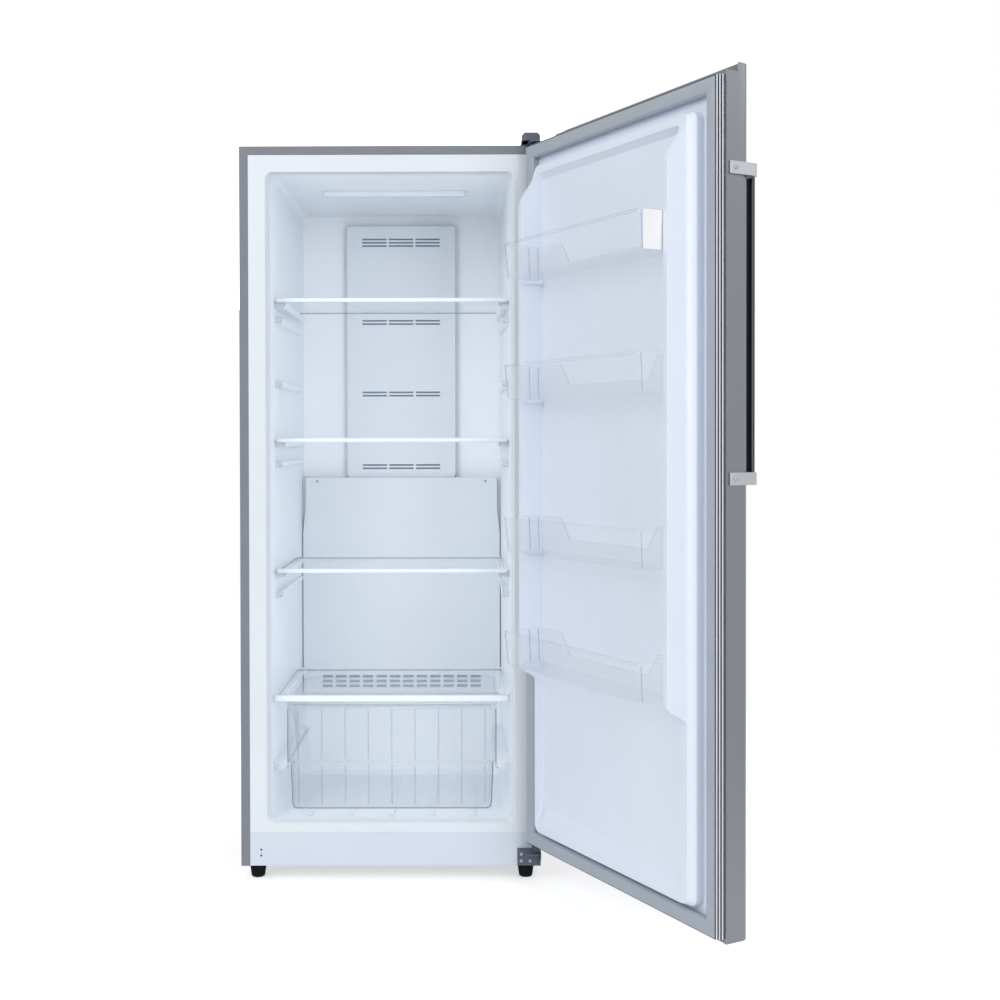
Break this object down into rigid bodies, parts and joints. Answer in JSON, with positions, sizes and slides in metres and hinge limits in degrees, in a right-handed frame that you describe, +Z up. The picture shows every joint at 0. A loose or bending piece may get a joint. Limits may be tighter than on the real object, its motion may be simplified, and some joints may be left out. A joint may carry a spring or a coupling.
{
  "type": "upright freezer",
  "caption": "Upright freezer with a stainless door standing open, glass shelves, clear drawer and door bins, bar handle, levelling feet and rear rollers",
  "frame": {"origin": "on the floor, under the middle of the freezer's box with its door open", "axes": "+Z up, -Y out of the cabinet's front, +X towards the hinge side"},
  "size_m": [1.0918, 1.338, 1.7633],
  "materials": {
    "stainless": "horizontally brushed stainless steel, satin",
    "grey_shell": "dark grey painted sheet steel, fine satin texture",
    "dark_steel": "dark grey painted steel, satin",
    "zinc_steel": "zinc-coated sheet steel",
    "white_plastic": "white moulded polystyrene, soft gloss",
    "grey_plastic": "grey moulded plastic",
    "dark_plastic": "dark grey moulded plastic",
    "black_gloss": "black gloss display window",
    "clear_plastic": "clear moulded polystyrene, glossy",
    "clear_glass": "clear toughened glass",
    "gasket_vinyl": "grey soft vinyl gasket",
    "black_rubber": "black rubber",
    "insulation_foam": "cream polyurethane foam",
    "cast_black": "black enamelled steel",
    "copper": "copper tube",
    "aluminium_fins": "bare aluminium fins",
    "circuit_board": "green circuit board",
    "lamp_diffuser": "frosted white lamp cover"
  },
  "bodies": {
    "cabinet": {"outer_shell": "grey_shell", "back_panel": "zinc_steel", "base_pan": "zinc_steel", "machine_room_wall": "zinc_steel", "cabinet_foam": "insulation_foam", "inner_liner": "white_plastic", "kick_panel": "white_plastic", "air_duct_panel": "white_plastic", "evaporator_cover": "white_plastic", "evaporator_coil": "aluminium_fins", "defrost_heater": "dark_steel", "evaporator_fan_motor": "dark_plastic", "drain_tube": "grey_plastic", "lamp_cover": "lamp_diffuser", "lamp_board": "circuit_board", "compressor": "cast_black", "condenser_coil": "cast_black", "condenser_fan_motor": "dark_plastic", "drip_pan": "dark_plastic", "filter_drier": "copper", "suction_line": "copper", "discharge_line": "copper", "control_box": "dark_plastic", "compressor_cover": "dark_steel", "power_gland": "black_rubber", "upper_hinge": "dark_steel", "hinge_cover": "dark_plastic", "lower_hinge": "dark_steel", "crisper_glass": "clear_glass", "crisper_trim": "white_plastic"},
    "door": {"door_skin": "stainless", "door_top_cap": "grey_plastic", "door_bottom_cap": "grey_plastic", "door_liner": "white_plastic", "door_foam": "insulation_foam", "door_gasket": "gasket_vinyl", "handle_bar": "stainless", "handle_strap_upper": "stainless", "handle_strap_lower": "stainless", "handle_screw_upper": "dark_steel", "handle_screw_lower": "dark_steel", "display_window": "black_gloss", "display_board": "circuit_board"},
    "drawer": {"freezer_drawer": "clear_plastic"},
    "evaporator_fan": {"evaporator_fan": "dark_plastic"},
    "condenser_fan": {"condenser_fan": "dark_plastic"},
    "left_foot": {"left_foot": "black_rubber"},
    "right_foot": {"right_foot": "black_rubber"},
    "left_roller": {"left_roller": "dark_plastic"},
    "right_roller": {"right_roller": "dark_plastic"},
    "shelf_1": {"shelf_glass_1": "clear_glass", "shelf_trim_1": "white_plastic"},
    "shelf_2": {"shelf_glass_2": "clear_glass", "shelf_trim_2": "white_plastic"},
    "shelf_3": {"shelf_glass_3": "clear_glass", "shelf_trim_3": "white_plastic"},
    "bin_1": {"door_bin_1": "clear_plastic"},
    "bin_2": {"door_bin_2": "clear_plastic"},
    "bin_3": {"door_bin_3": "clear_plastic"},
    "bin_4": {"door_bin_4": "clear_plastic"}
  },
  "joints": [
    {"name": "door_hinge", "type": "hinge", "parent": "cabinet", "child": "door", "pos_m": [0.1531, -0.05096, 0.9], "axis": [0, 0, 1], "range_deg": [-118.5, 1.5]},
    {"name": "drawer_slide", "type": "slide", "parent": "cabinet", "child": "drawer", "axis": [0, -1, 0], "range_m": [0, 0.3]},
    {"name": "shelf_slide_1", "type": "slide", "parent": "cabinet", "child": "shelf_1", "axis": [0, -1, 0], "range_m": [0, 0.25]},
    {"name": "shelf_slide_2", "type": "slide", "parent": "cabinet", "child": "shelf_2", "axis": [0, -1, 0], "range_m": [0, 0.25]},
    {"name": "shelf_slide_3", "type": "slide", "parent": "cabinet", "child": "shelf_3", "axis": [0, -1, 0], "range_m": [0, 0.25]},
    {"name": "bin_lift_1", "type": "slide", "parent": "door", "child": "bin_1", "axis": [0, 0, 1], "range_m": [0, 0.06]},
    {"name": "bin_lift_2", "type": "slide", "parent": "door", "child": "bin_2", "axis": [0, 0, 1], "range_m": [0, 0.06]},
    {"name": "bin_lift_3", "type": "slide", "parent": "door", "child": "bin_3", "axis": [0, 0, 1], "range_m": [0, 0.06]},
    {"name": "bin_lift_4", "type": "slide", "parent": "door", "child": "bin_4", "axis": [0, 0, 1], "range_m": [0, 0.06]},
    {"name": "evaporator_fan_spin", "type": "hinge", "parent": "cabinet", "child": "evaporator_fan", "pos_m": [-0.1904, 0.54874, 0.86794], "axis": [0, 1, 0], "continuous": true},
    {"name": "condenser_fan_spin", "type": "hinge", "parent": "cabinet", "child": "condenser_fan", "pos_m": [-0.1651, 0.56704, 0.13], "axis": [1, 0, 0], "continuous": true},
    {"name": "left_foot_turn", "type": "hinge", "parent": "cabinet", "child": "left_foot", "pos_m": [-0.5114, 0.01304, 0.02], "axis": [0, 0, 1], "continuous": true},
    {"name": "right_foot_turn", "type": "hinge", "parent": "cabinet", "child": "right_foot", "pos_m": [0.1306, 0.01304, 0.02], "axis": [0, 0, 1], "continuous": true},
    {"name": "left_roller_spin", "type": "hinge", "parent": "cabinet", "child": "left_roller", "pos_m": [-0.4864, 0.60704, 0.016], "axis": [1, 0, 0], "continuous": true},
    {"name": "right_roller_spin", "type": "hinge", "parent": "cabinet", "child": "right_roller", "pos_m": [0.1056, 0.60704, 0.016], "axis": [1, 0, 0], "continuous": true}
  ]
}
